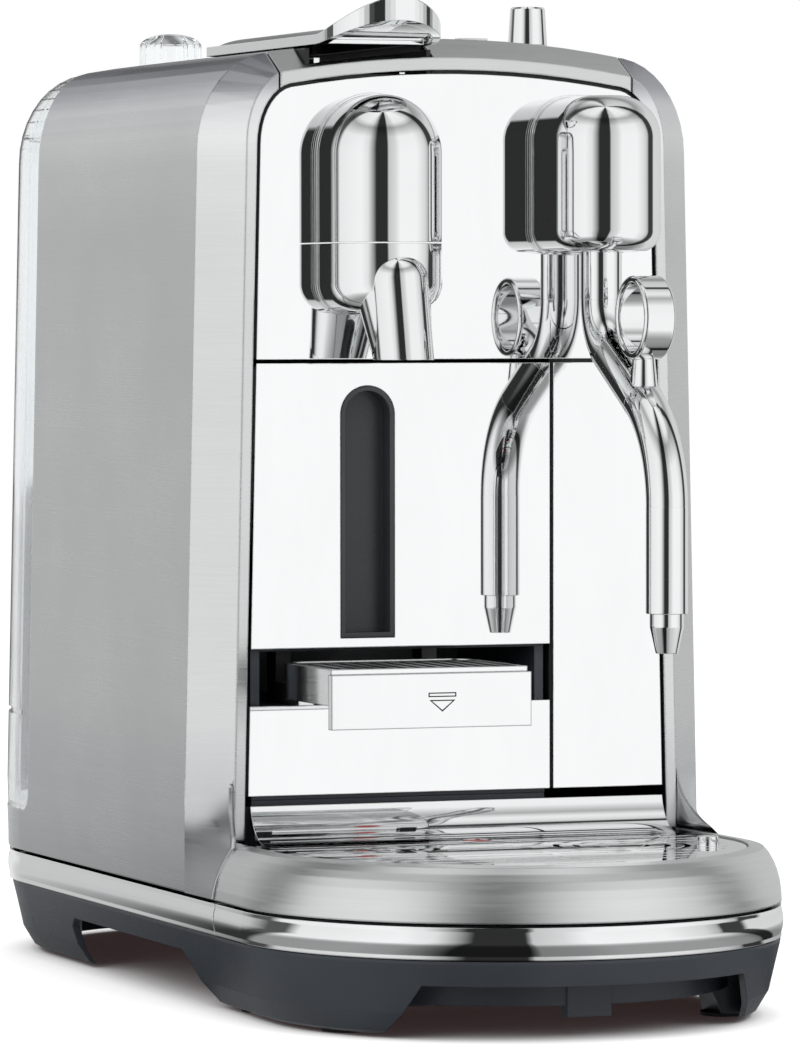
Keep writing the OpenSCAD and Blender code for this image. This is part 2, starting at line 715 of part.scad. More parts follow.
module brew_piston() {
  color("gray") {
    box(brew_x - 19.6, brew_x + 19.6, cage_y1 - 26, cage_y1 - 4, cage_z0 + 14.3, cage_z1 - 22);
    translate([brew_x, cage_y1 - 36, cage_z0 + 40]) rotate([-90, 0, 0]) cylinder(d = 28, h = 10);
  }
}

// ================= controls =================
dial_x = 35;
dial_y = panel_y + 30;
button_x = 16;
screen_x = 25;
screen_y = dial_y + 32;
function crest(x) = top_z - x * x / 690;
module dial() {
  color("silver") translate([dial_x, dial_y, 0]) {
    difference() {
      union() {
        translate([0, 0, crest(dial_x) + 0.9]) cylinder(d1 = 12.2, d2 = 10.8,
          h = height - crest(dial_x) - 1.5);
        translate([0, 0, height - 0.6]) cylinder(d1 = 10.8, d2 = 9.8, h = 0.6);
      }
      translate([0, 0, height - 0.3]) cylinder(d = 8, h = 1);
    }
    translate([0, 0, top_z - 18]) cylinder(d = 5.8, h = 18 - 0.6);
  }
}
module start_button() {
  color("white") translate([button_x, dial_y, top_z - 14]) cylinder(d = 10.2, h = 15);
}
module display_window() {
  color("black") box(screen_x - 14.7, screen_x + 14.7, screen_y - 8.7, screen_y + 8.7,
    top_z - 6, crest(screen_x + 15) + 0.2);
}

// ================= water tank =================
tank_w = 2.4;
foot_z = tank_z + 31;
lid_z = shoulder_z + 8;
module water_tank() {
  color("lightcyan") difference() {
    union() {
      along_y(tank_y + 0.6, tank_y + 0.6 + tank_w) level_2d(0.3, tank_z, lid_z);
      round_and_straight(tank_y + 0.6 + tank_w) difference() {
        level_2d(0.3, tank_z, lid_z);
        level_2d(0.3 + tank_w, tank_z + tank_w, lid_z + 1);
      }
    }
    translate([0, rear_c + 20, tank_z - 1]) cylinder(d = 12.4, h = 5);
    along_x(-width, width) difference() {
      translate([tank_y, tank_z - 1]) square([tank_corner + 0.6, tank_corner + 1]);
      translate([tank_y + 0.6 + tank_corner, tank_z + tank_corner]) circle(r = tank_corner);
    }
    // groove round the foot
    round_and_straight(tank_y + 9) difference() {
      level_2d(-1, foot_z, foot_z + 2);
      level_2d(1.2, foot_z - 1, foot_z + 3);
    }
  }
}
module tank_lid() {
  color("lightcyan") intersection() {
    round_and_straight(tank_y + 1) difference() {
      level_2d(0.3, lid_z + 0.3, height);
      level_2d(0.3 + tank_w, lid_z - 1, height);
    }
    tank_zone(-0.6);
  }
}
grip_x = -14.5;
grip_y = rear_c + 50;
module lid_grip() {
  color("lightcyan") translate([grip_x, grip_y, 0]) difference() {
    intersection() {
      union() {
        translate([0, 0, top_z - 8]) cylinder(d = 21, h = 14);
        translate([0, 0, top_z + 6]) scale([1, 1, 0.4]) sphere(d = 21);
      }
      translate([0, 0, top_z - 8]) cylinder(d = 30, h = 30);
    }
    translate([-grip_x, rear_c - grip_y, 0]) rotate_extrude($fn = 96) intersection() {
      body_2d();
      square([width, height + 20]);
    }
    for (i = [0 : 17]) rotate(i * 20) translate([10.9, 0, top_z - 9])
      cylinder(d = 1.4, h = 16, $fn = 16);
  }
}
module tank_valve() {
  color("white") translate([0, rear_c + 20, tank_z]) {
    translate([0, 0, -2.6]) cylinder(d1 = 8, d2 = 11, h = 2.6);
    cylinder(d = 12.4, h = tank_w + 0.5);
    translate([0, 0, tank_w]) cylinder(d = 17, h = 2);
    translate([0, 0, tank_w + 2]) cylinder(d1 = 10, d2 = 6, h = 3);
  }
}

// ================= drawer =================
bin_z = 111.5;                        // floor of the capsule bin
slot_z = 93;                          // opening of the cup support
slot_top = 110;
bin_back = bay_back - 6;
module drawer_frame() {
  color("#2b2e33") difference() {
    box(bay_x0 + 1, bay_x1 - 1.6, wall_y, bin_back, grid_z + 12.6, bin_z - 2);
    box(bay_x0 + 4, bay_x1 - 4.6, panel_y - 1, bin_back - 4, slot_z - 0.6, slot_top - 1);
    box(bay_x0 + 4, bay_x1 - 4.6, wall_y + 3, bin_back - 4, grid_z + 11, slot_z - 3);
    box(bay_x0 - 1, bay_x1, panel_y - 1, wall_y + 1, slot_z - 0.6, bin_z);
  }
}
module capsule_container() {
  color("#2b2e33") difference() {
    box(bay_x0 + 1, bay_x1 - 1.6, wall_y, bin_back, bin_z - 2, door_top - 1);
    difference() {
      box(bay_x0 + 3.2, bay_x1 - 3.8, wall_y + 2.4, bin_back - 2.2, bin_z + 0.4, door_top);
      box(groove_x - groove_w / 2 - 3, groove_x + groove_w / 2 + 3, wall_y, wall_y + 9,
        bin_z, door_top - 4);
    }
    // behind the finger groove
    box(groove_x - groove_w / 2 - 0.4, groove_x + groove_w / 2 + 0.4, wall_y - 1, wall_y + 6.6,
      bin_z + 0.6, door_top - 6);
  }
}
groove_w = 17.4;                      // finger groove of the capsule door
groove_x = brew_x - 1;
groove_top = door_top - 7;
module groove_2d(ins = 0) {
  translate([groove_x, 0]) {
    translate([-groove_w / 2 + ins, bin_z + 1.4 + ins])
      square([groove_w - 2 * ins, groove_top - groove_w / 2 - bin_z - 1.4 - ins]);
    translate([0, groove_top - groove_w / 2]) circle(r = groove_w / 2 - ins);
  }
}
module capsule_panel() {
  color("white") difference() {
    front_piece(-width, split_x - panel_gap / 2, bin_z - 1.6, door_top);
    along_y(panel_y - 1, wall_y + 1) groove_2d(-0.15);
  }
}
module finger_slot() {
  color("#3a3d42") difference() {
    along_y(panel_y + 0.2, wall_y + 6.2) groove_2d();
    along_y(panel_y, wall_y + 4.6) groove_2d(1.5);
  }
}
module lower_panel() {
  color("white") front_piece(-width, split_x - panel_gap / 2, sill_z, slot_z - 0.6);
}
support_x = brew_x + 1;
support_y = panel_y - support_out;
module support_2d(ins) {
  translate([support_x, 0]) {
    for (s = [-1, 1]) translate([s * (support_w / 2 - 9), panel_y - 8]) circle(r = 8.5 - ins);
    translate([-support_w / 2 + 0.5 + ins, support_y + 2 + ins])
      square([support_w - 1 - 2 * ins, support_out - 10 - ins]);
    translate([-support_w / 2 + 9, support_y + 2 + ins])
      square([support_w - 18, support_out - 1.5 - 2 * ins]);
  }
}
module cup_support() {
  color("gainsboro") difference() {
    union() {
      translate([0, 0, slot_z + 2]) linear_extrude(11) support_2d(0);
      box(support_x - support_w / 2, support_x + support_w / 2, support_y, support_y + 3,
        slot_z - 5, slot_z + 11.4);
      for (s = [-1, 1]) {
        box(support_x + s * 24 - 2.5, support_x + s * 24 + 2.5, panel_y - 5, panel_y + 24,
          slot_z - 0.3, slot_z + 6);
        box(support_x + s * 24 - 2.5, support_x + s * 24 + 2.5, panel_y + 16, panel_y + 24,
          slot_z - 0.3, slot_top - 1.3);
      }
      box(support_x - 24, support_x + 24, panel_y + 20, panel_y + 24, slot_z - 0.3, slot_z + 3);
    }
    translate([0, 0, slot_z + 4]) linear_extrude(20) support_2d(2);
  }
}
module cup_grid() {
  color("#1d1f22") difference() {
    union() {
      translate([0, 0, slot_z + 10.8]) linear_extrude(1.8) support_2d(2.3);
      for (s = [-1, 1]) box(support_x + s * 14 - 1, support_x + s * 14 + 1,
        support_y + 6, panel_y - 6, slot_z + 4, slot_z + 11);
    }
    for (i = [-5 : 5]) box(support_x + i * 5 - 1.2, support_x + i * 5 + 1.2,
      support_y + 8, panel_y - 7, slot_z + 10, slot_z + 20);
  }
}

// ================= drip tray =================
rim_r = tray_r - 8.5;
skirt_z = band_z + band_h + 1;
module sweep(y1) {
  // children: profile (x, z) carried round the front and straight back to y1
  translate([0, tray_c, 0]) rotate([0, 0, 180]) rotate_extrude(angle = 180, $fn = 96) children();
  for (s = [0, 1]) mirror([s, 0, 0]) along_y(tray_c, y1) children();
}
module skirt_2d() {
  difference() {
    polygon(concat([[tray_r - 3, skirt_z]],
      [for (i = [0 : 6]) let (a = 12 + 62 * i / 6)
        [rim_r - 1.6 + 10.1 * cos(a - 12), skirt_z + 16 * sin(a - 12) / sin(62)]],
      [[rim_r - 1.6, grid_z + 0.4], [rim_r - 1.6, grid_z - 3], [rim_r + 1.5, grid_z - 3]]));
    translate([0, grid_z + 0.4]) square([width, 20]);
  }
}
module tray_skirt() {
  color("silver") difference() {
    sweep(bevel_y + 2) skirt_2d();
    tray_cut(-0.5);
  }
}
module tray_band_2d() { translate([tray_r - half_w + 0.9, 0]) band_2d(); }
module tray_band() {
  color("lightgray") sweep(joint_y - 0.3) tray_band_2d();
}
ring_z0 = 9.4;                        // inner ring seen through the front arch
module tray_base_2d() {
  difference() {
    intersection() {
      translate([tray_r - half_w + 1.6, 0]) polygon(base_pts);
      square([width, height]);
    }
    translate([0, -3]) offset(delta = -3.2) polygon(concat([[-9, -9]], [[half_w - 11, -9]],
      [for (i = [2 : 6]) base_pts[i] - [i == 6 ? 9 : 0, 0]]));
  }
  // rim inside the chrome band
  translate([tray_r - 6.6, base_h - 1]) square([3, skin_z - base_h]);
}
module tray_base() {
  color("#3b4048") difference() {
    union() {
      sweep(bevel_y + 10) tray_base_2d();
      for (s = [-1, 1]) translate([s * tray_pads[0], tray_pads[1], pad_h])
        cylinder(d = pad_d + 3, h = base_h - pad_h - 1);
    }
    for (s = [-1, 1]) translate([s * tray_pads[0], tray_pads[1], 0]) cylinder(d = 5, h = 7.3);
    tray_cut(-0.3);
    // arches in front and behind
    along_y(front_y - 5, panel_y) polygon([[-58, -1], [-56, 5], [-51, arch_z], [51, arch_z],
      [56, 5], [58, -1]]);
  }
  color("#3b4048") {
    translate([0, tray_c, 0]) intersection() {
      difference() {
        translate([0, 0, ring_z0]) cylinder(r = tray_r - 16, h = base_h - 2 - ring_z0, $fn = 96);
        cylinder(r = tray_r - 19, h = base_h, $fn = 96);
      }
      box(-60, 60, -width, 0, 0, base_h);
    }
    box(-7, 7, front_y + 15.5, front_y + 20, ring_z0 - 3.4, base_h - 2);
  }
}
module tray_foot() {
  color("#222") for (s = [-1, 1]) rubber(s * tray_pads[0], tray_pads[1]);
}
basin_r = rim_r - 3.4;
module plate_2d(r, y1) {
  translate([0, tray_c]) intersection() {
    circle(r = r, $fn = 96);
    translate([-r, -r]) square([2 * r, r + eps]);
  }
  translate([-r, tray_c]) square([2 * r, y1 - tray_c]);
}
basin_z = base_h;
module drip_basin() {
  color("#2b2e33") difference() {
    union() {
      translate([0, 0, basin_z]) linear_extrude(grid_z - 1.9 - basin_z) union() {
        plate_2d(basin_r - 0.4, panel_y);
        translate([-tray_half, tray_c]) square([2 * tray_half, bay_back - 4 - tray_c]);
      }
      // walls that carry the drawer frame
      box(bay_x0 + 1, bay_x1 - 1.6, wall_y, bin_back, basin_z + 1, grid_z + 12.6);
      box(-tray_half + 1.3, tray_half - 1.3, panel_y + 3.4, panel_y + 5.4, basin_z + 1,
        grid_z + 10.6);
    }
    translate([0, 0, basin_z + 2]) linear_extrude(60) plate_2d(basin_r - 2.6, panel_y - 2);
    box(-tray_half + 2, tray_half - 2, panel_y - 3, bay_back - 6, basin_z + 2, grid_z - 6);
    box(bay_x0 + 3, bay_x1 - 3.6, wall_y + 8, bin_back - 2, basin_z + 2, grid_z + 20);
    // the back of the cove and its runner
    box(-tray_half - 1, tray_half + 1, panel_y - 5, panel_y + 2.6, grid_z - 4, grid_z + 20);
  }
}
slot_pitch = 8;
cup_spot = [brew_x - 4.5, tray_c];
jug_spot = [steam_x - 7, tray_c - 11];
module ring_slots_2d(spot, radii) {
  translate(spot) difference() {
    for (r = radii) difference() {
      circle(r = r + 1);
      circle(r = r - 1);
    }
    for (a = [20, 140, 260]) rotate(a) translate([0, -1.6]) square([40, 3.2]);
  }
}
// long slots that part round two ringed places, for the cup and for the jug
module grid_slots_2d() {
  difference() {
    for (i = [0 : 10]) let (y = panel_y - 24.5 - i * slot_pitch,
        half = sqrt(pow(rim_r - 9, 2) - pow(min(0, y - tray_c), 2))) {
      translate([-half, y - 1]) square([2 * half, 2]);
      for (s = [-1, 1]) translate([s * half, y]) circle(r = 1, $fn = 24);
    }
    translate(cup_spot) circle(r = 15);
    translate(jug_spot) circle(r = 24);
    for (x = [-52, 2]) translate([x, -width]) square([3.2, width]);
    translate([float_x, float_y]) circle(d = 20);
    translate([sensor_x, sensor_y]) circle(d = 12);
  }
  ring_slots_2d(cup_spot, [6, 10.5]);
  ring_slots_2d(jug_spot, [8, 14, 20]);
}
module drip_grid() {
  color("silver") difference() {
    union() {
      translate([0, 0, grid_z - 1.6]) linear_extrude(1.6) plate_2d(rim_r - 2, panel_y - 13);
      // cove that climbs to the mirror front
      along_x(-half_w + bevel + 5, half_w - bevel - 5) difference() {
        translate([panel_y - 13.5, grid_z - 1.6]) square([13.6, 12.6]);
        translate([panel_y - 13.5, grid_z + 13.2]) circle(r = 13.2, $fn = 96);
      }
    }
    along_x(-width, width) difference() {
      translate([panel_y - 13.5, grid_z - 2]) square([20, 20]);
      translate([panel_y - 13.5, grid_z + 13.2]) circle(r = 14.8, $fn = 96);
      translate([panel_y - 14.5, grid_z - 2]) square([3, 20]);
      translate([panel_y - 1.3, grid_z + 5]) square([10, 20]);
    }
    translate([0, 0, grid_z - 5]) linear_extrude(10) grid_slots_2d();
    translate([float_x, float_y, grid_z - 5]) cylinder(d = 9, h = 10);
    translate([sensor_x, sensor_y, grid_z - 5]) cylinder(d = 7.2, h = 10);
  }
}
float_x = 0;
float_y = panel_y - 16.5;
module drip_float() {
  color("red") translate([float_x, float_y, basin_z + 2.2]) {
    cylinder(d = 8.2, h = grid_z - basin_z - 2.4);
    cylinder(d = 14, h = 6);
  }
}
sensor_x = 61;
sensor_y = tray_c - 14;
module milk_sensor() {
  color("silver") translate([sensor_x, sensor_y, 0]) {
    translate([0, 0, basin_z + 4.6]) cylinder(d = 6.4, h = grid_z - basin_z - 2.4);
    translate([0, 0, basin_z + 4.6]) cylinder(d = 9.4, h = 3);
  }
}

// ================= inside =================
floor_z = skin_z + 4;
module pump() {
  color("gray") translate([34, bay_back + 12, floor_z + 22.2]) rotate([-90, 0, 0]) {
    cylinder(d = 44, h = 46);
    translate([0, 0, 46]) cylinder(d = 20, h = 18);
    translate([0, 0, -6]) cylinder(d = 14, h = 6);
  }
}
module thermoblock() {
  color("lightgray") difference() {
    box(-62, -6, bay_back + 10, bay_back + 52, floor_z, floor_z + 86);
    for (i = [1 : 8]) box(-63, -5, bay_back + 9, bay_back + 14, floor_z + i * 9.6,
      floor_z + i * 9.6 + 4);
  }
}
module steam_boiler() {
  color("silver") translate([34, bay_back + 35, floor_z + 50]) {
    cylinder(d = 52, h = 78);
    translate([0, 0, -5.6]) cylinder(d = 30, h = 5.6);
    translate([0, 0, 78]) cylinder(d = 12, h = 8);
  }
}
module flow_meter() {
  color("dimgray") translate([-34, bay_back + 68, floor_z]) cylinder(d = 26, h = 18);
}
module control_board() {
  color("darkgreen") box(-68, -66.4, bay_back + 8, bay_back + 80, floor_z, floor_z + 110);
}

left_side_panel();
right_side_panel();
top_panel();
rear_cover();
mains_inlet();
chassis();
upper_front_panel();
right_lower_panel();
rear_base();
rear_band();
rear_foot();
tank_dock();
coffee_head_upper();
coffee_head_lower();
spout();
steam_head();
wand_pivot();
steam_wand();
wand_ring();
steam_tip();
lever_shell();
lever_inlay();
lever_pin();
lever_bezel();
capsule_guide();
brew_cage();
brew_piston();
dial();
start_button();
display_window();
water_tank();
tank_lid();
lid_grip();
tank_valve();
drawer_frame();
capsule_container();
capsule_panel();
finger_slot();
lower_panel();
cup_support();
cup_grid();
tray_skirt();
tray_band();
tray_base();
tray_foot();
drip_basin();
drip_grid();
drip_float();
milk_sensor();
pump();
thermoblock();
steam_boiler();
flow_meter();
control_board();
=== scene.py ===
"""Pod coffee machine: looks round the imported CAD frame. Metres, X right, front faces -Y, Z up."""
import bpy
import bmesh
import math
from mathutils import Vector, Matrix


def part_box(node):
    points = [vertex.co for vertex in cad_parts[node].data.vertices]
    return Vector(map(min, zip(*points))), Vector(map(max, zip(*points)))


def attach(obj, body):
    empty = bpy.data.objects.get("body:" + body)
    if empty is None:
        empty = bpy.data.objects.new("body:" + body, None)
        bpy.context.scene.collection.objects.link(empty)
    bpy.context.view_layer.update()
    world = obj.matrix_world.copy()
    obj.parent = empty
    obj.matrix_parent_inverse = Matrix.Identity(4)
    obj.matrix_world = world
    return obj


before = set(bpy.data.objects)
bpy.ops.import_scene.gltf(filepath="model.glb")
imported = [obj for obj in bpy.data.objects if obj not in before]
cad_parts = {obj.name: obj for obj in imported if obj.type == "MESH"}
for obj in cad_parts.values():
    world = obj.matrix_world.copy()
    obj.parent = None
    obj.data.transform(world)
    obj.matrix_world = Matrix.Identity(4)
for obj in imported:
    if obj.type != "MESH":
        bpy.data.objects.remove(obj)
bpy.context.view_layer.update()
scene = bpy.context.scene
MM = 0.001


# ---------------------------------------------------------------- camera
CAMERA_PLACE = (-0.71499, -1.93681, 0.2128)
CAMERA_TURN = (20.48, 1.94, -0.05)      # degrees: yaw to the right, pitch down, roll
SENSOR = 36.0
FOCAL_SHARE = 6480.0 / 1062.0           # focal length over the picture's long side


def make_camera():
    yaw, pitch, roll = (math.radians(v) for v in CAMERA_TURN)
    data = bpy.data.cameras.new("camera")
    data.sensor_width = SENSOR
    data.lens = FOCAL_SHARE * SENSOR
    data.clip_start, data.clip_end = 0.1, 60.0
    data.dof.use_dof = False
    cam = bpy.data.objects.new("camera", data)
    look = Vector((math.sin(yaw) * math.cos(pitch), math.cos(yaw) * math.cos(pitch), -math.sin(pitch)))
    turn = look.to_track_quat("-Z", "Y").to_matrix().to_4x4() @ Matrix.Rotation(roll, 4, "Z")
    cam.matrix_world = Matrix.Translation(CAMERA_PLACE) @ turn
    scene.collection.objects.link(cam)
    scene.camera = cam


make_camera()


# ---------------------------------------------------------------- node helpers
def fill_ramp(ramp, stops):
    """stops: (place 0..1, colour), in order."""
    while len(ramp.elements) > 1:
        ramp.elements.remove(ramp.elements[-1])
    for i, (place, colour) in enumerate(stops):
        e = ramp.elements[0] if i == 0 else ramp.elements.new(place)
        e.position = place
        e.color = colour


class Graph:
    """A material's node tree with short calls."""

    def __init__(self, name):
        self.mat = bpy.data.materials.new(name)
        self.mat.use_nodes = True
        self.tree = self.mat.node_tree
        self.tree.nodes.clear()
        self.out = self.tree.nodes.new("ShaderNodeOutputMaterial")

    def node(self, kind, inputs=None, **attrs):
        n = self.tree.nodes.new(kind)
        for key, value in attrs.items():
            setattr(n, key, value)
        for key, value in (inputs or {}).items():
            self.put(n.inputs[key], value)
        return n

    def put(self, socket, value):
        if isinstance(value, bpy.types.NodeSocket):
            self.tree.links.new(value, socket)
        else:
            socket.default_value = value

    def coords(self, scale):
        tc = self.node("ShaderNodeTexCoord")
        m = self.node("ShaderNodeMapping", {"Vector": tc.outputs["Object"]})
        m.inputs["Scale"].default_value = scale
        return m.outputs["Vector"]

    def noise(self, scale, detail=4.0, roughness=0.5, size=1.0, distortion=0.0):
        n = self.node("ShaderNodeTexNoise", {"Vector": self.coords(scale), "Scale": size, "Detail": detail,
                                             "Roughness": roughness, "Distortion": distortion})
        return n.outputs["Fac"]

    def span(self, value, a, b, lo=0.0, hi=1.0):
        """value from lo..hi onto a..b"""
        n = self.node("ShaderNodeMapRange", {"Value": value, "From Min": lo, "From Max": hi,
                                             "To Min": a, "To Max": b})
        return n.outputs["Result"]

    def math(self, op, a, b=0.0, c=0.0):
        n = self.node("ShaderNodeMath", operation=op)
        for i, value in enumerate((a, b, c)):
            self.put(n.inputs[i], value)
        return n.outputs[0]

    def mix(self, fac, a, b, blend="MIX"):
        n = self.node("ShaderNodeMix", data_type="RGBA", blend_type=blend)
        self.put(n.inputs[0], fac)
        self.put(n.inputs[6], a)
        self.put(n.inputs[7], b)
        return n.outputs[2]

    def by_place(self, stops, axis=2):
        """Colour along one of the object's own axes: (place in metres, share, share of blue)."""
        tc = self.node("ShaderNodeTexCoord")
        xyz = self.node("ShaderNodeSeparateXYZ", {"Vector": tc.outputs["Object"]})
        low, high = stops[0][0], stops[-1][0]
        ramp = self.node("ShaderNodeValToRGB", {"Fac": self.span(xyz.outputs[axis], 0.0, 1.0, low, high)})
        ramp.color_ramp.interpolation = "EASE"
        fill_ramp(ramp.color_ramp,
                  [((at - low) / (high - low), (v, v, v * blue, 1.0)) for at, v, blue in stops])
        return ramp.outputs[0]

    def bump(self, height, distance, strength=1.0, normal=None):
        n = self.node("ShaderNodeBump", {"Height": height, "Distance": distance, "Strength": strength})
        if normal is not None:
            self.put(n.inputs["Normal"], normal)
        return n.outputs["Normal"]

    def soft_edge(self, radius):
        return self.node("ShaderNodeBevel", {"Radius": radius}, samples=6).outputs["Normal"]

    def near_edge(self, soft, lo=0.90, hi=0.992):
        """1 on a crease, 0 away from it: how far the softened normal leans from the face."""
        face = self.node("ShaderNodeNewGeometry").outputs["Normal"]
        dot = self.node("ShaderNodeVectorMath", operation="DOT_PRODUCT")
        self.put(dot.inputs[0], face)
        self.put(dot.inputs[1], soft)
        return self.span(dot.outputs["Value"], 1.0, 0.0, lo, hi)

    def principled(self, **inputs):
        n = self.node("ShaderNodeBsdfPrincipled")
        for key, value in inputs.items():
            self.put(n.inputs[key.replace("_", " ")], value)
        self.tree.links.new(n.outputs[0], self.out.inputs["Surface"])
        return n


def grey(v, tint=(1.0, 1.0, 1.0)):
    return (v * tint[0], v * tint[1], v * tint[2], 1.0)


# ---------------------------------------------------------------- materials
def brushed(name, along="y", base=0.72, rough=(0.24, 0.34), tint=(0.985, 1.0, 0.995), radius=0.0006,
            grain=1300.0, stroke=38.0, bump=0.000008, aniso=0.5, heights=None, axis=2, crease=0.7):
    """Steel brushed in short strokes along one axis.

    heights: a painted reflection, as (place along axis, share of the colour, share of blue), low to high.
    crease sets how much a painted highlight lightens the edges."""
    g = Graph(name)
    scale = {"y": (stroke, stroke, grain), "x": (stroke, grain, grain), "z": (grain, grain, stroke)}[along]
    fine_lines = g.noise(scale, 5.0, 0.62)
    broad = g.noise(tuple(v * 0.14 for v in scale), 3.0, 0.5)
    cloud = g.noise((14.0, 14.0, 14.0), 3.0, 0.6)
    lines = g.math("MULTIPLY_ADD", broad, 0.35, g.math("MULTIPLY", fine_lines, 0.65))
    dark, light = grey(base * 0.93, tint), grey(min(base * 1.07, 0.97), tint)
    colour = g.mix(g.span(lines, 0.0, 1.0, 0.3, 0.7), dark, light)
    colour = g.mix(g.math("MULTIPLY", cloud, 0.12), colour, dark)
    # painted reflection: the colour is multiplied by the tones along the axis
    if heights:
        colour = g.mix(1.0, colour, g.by_place(heights, axis), blend="MULTIPLY")
    soft = g.soft_edge(radius)
    # painted highlight: the creases lighten towards a 0.97 grey
    colour = g.mix(g.math("MULTIPLY", g.near_edge(soft), crease), colour, grey(0.97))
    rough_value = g.math("ADD", g.span(lines, rough[0], rough[1], 0.3, 0.7),
                         g.span(cloud, -0.02, 0.03, 0.3, 0.7))
    normal = g.bump(lines, bump, 1.0, soft)
    g.principled(Base_Color=colour, Metallic=1.0, Roughness=rough_value, Anisotropic=aniso, Normal=normal)
    return g.mat


def polished(name, base=0.9, rough=0.03, radius=0.0004, tint=(0.99, 1.0, 1.0), outline=0.0):
    """Mirror metal with faint wipe marks and pinprick unevenness. outline sets how much painted shade
    darkens its creases.
    """
    g = Graph(name)
    wipes = g.noise((60.0, 60.0, 18.0), 5.0, 0.6, distortion=0.6)
    specks = g.noise((900.0, 900.0, 900.0), 2.0, 0.5)
    r = g.math("ADD", g.span(wipes, rough * 0.7, rough * 1.7, 0.35, 0.7),
               g.span(specks, 0.0, 0.012, 0.62, 0.8))
    colour = g.mix(g.span(wipes, 0.0, 1.0, 0.3, 0.75), grey(base, tint), grey(base * 0.975, tint))
    waves = g.noise((22.0, 22.0, 22.0), 1.0, 0.4)
    soft = g.soft_edge(radius)
    if outline:
        # painted shade: the creases darken towards a near black grey
        colour = g.mix(g.math("MULTIPLY", g.near_edge(soft), outline), colour, grey(0.16))
    normal = g.bump(waves, 0.00001, 0.6, soft)
    g.principled(Base_Color=colour, Metallic=1.0, Roughness=r, Normal=normal)
    return g.mat


def plastic(name, colour, rough=0.45, radius=0.0005, grain=0.00003, scale=1500.0, spec=0.5, coat=0.0):
    """Moulded plastic with a spark-eroded grain and slight colour drift."""
    g = Graph(name)
    grain_n = g.noise((scale, scale, scale), 3.0, 0.6)
    drift = g.noise((25.0, 25.0, 25.0), 3.0, 0.5)
    dark = tuple(c * 0.86 for c in colour[:3]) + (1.0,)
    light = tuple(min(c * 1.12, 1.0) for c in colour[:3]) + (1.0,)
    col = g.mix(g.span(drift, 0.0, 1.0, 0.3, 0.7), dark, light)
    r = g.math("ADD", g.span(grain_n, rough - 0.07, rough + 0.07, 0.3, 0.7),
               g.span(drift, -0.03, 0.03, 0.3, 0.7))
    normal = g.bump(grain_n, grain, 0.7, g.soft_edge(radius))
    p = g.principled(Base_Color=col, Roughness=r, Normal=normal)
    p.inputs["Specular IOR Level"].default_value = spec
    p.inputs["Coat Weight"].default_value = coat
    return g.mat


def clear(name, colour=(0.93, 0.96, 0.97, 1.0), ior=1.49, rough=0.02):
    """Clear moulded plastic, faintly rippled."""
    g = Graph(name)
    ripple = g.noise((30.0, 30.0, 12.0), 3.0, 0.5)
    r = g.span(g.noise((200.0, 200.0, 200.0), 3.0, 0.6), rough, rough + 0.03, 0.4, 0.7)
    normal = g.bump(ripple, 0.00025, 0.5)
    p = g.principled(Base_Color=colour, Roughness=r, Normal=normal)
    p.inputs["IOR"].default_value = ior
    p.inputs["Transmission Weight"].default_value = 1.0
    return g.mat


# painted reflection up the side, as a share of the steel's colour: dim and bluer at the foot, a light band
# below the shoulder, dark and bluer on it
SIDE_PAINTED_REFLECTION = [(0.030, 0.58, 1.03), (0.060, 0.70, 1.02), (0.095, 0.82, 1.0), (0.235, 0.84, 1.0),
              (0.256, 0.90, 1.0), (0.267, 1.0, 1.0), (0.276, 0.90, 1.02), (0.284, 0.50, 1.07),
              (0.293, 0.33, 1.12), (0.308, 0.28, 1.12)]
MATS = {
    "side": brushed("side_steel", "y", 0.91, radius=0.0009, heights=SIDE_PAINTED_REFLECTION),
    # the top steel's tones are a painted reflection: lighter at the front, darker and bluer towards the back
    "top": brushed("top_steel", "y", 0.90, radius=0.0009, axis=1,
                   heights=[(-0.075, 0.80, 1.0), (-0.030, 0.60, 1.03), (0.060, 0.42, 1.08),
                            (0.160, 0.38, 1.08)]),
    "mirror": polished("front_mirror", 0.95, 0.02),
    "chrome": polished("chrome", 0.90, 0.03),
    # the cup support's satin chrome carries painted shade along its creases
    "satin": polished("satin_chrome", 0.95, 0.10, 0.0006, outline=0.8),
    "skirt": brushed("skirt_steel", "y", 0.80, (0.26, 0.36), grain=1100.0, bump=0.000005, radius=0.0008),
    "inlay": brushed("inlay_steel", "y", 0.6),
    "base": plastic("base_plastic", (0.036, 0.043, 0.053, 1.0), 0.42),
    "black": plastic("black_plastic", (0.012, 0.012, 0.013, 1.0), 0.4),
    "groove": plastic("groove_plastic", (0.035, 0.038, 0.043, 1.0), 0.35),
    "white": plastic("white_plastic", (0.75, 0.75, 0.74, 1.0), 0.35),
    "red": plastic("float_plastic", (0.55, 0.03, 0.02, 1.0), 0.3),
    "rubber": plastic("rubber_pads", (0.015, 0.015, 0.016, 1.0), 0.75, grain=0.00006, scale=900.0, spec=0.3),
    "tank": clear("tank_plastic"),
    "screen": plastic("screen", (0.004, 0.004, 0.006, 1.0), 0.12, grain=0.0, coat=1.0),
    "cast": plastic("cast_metal", (0.45, 0.45, 0.46, 1.0), 0.5),
    "board": plastic("board", (0.02, 0.16, 0.07, 1.0), 0.4),
}
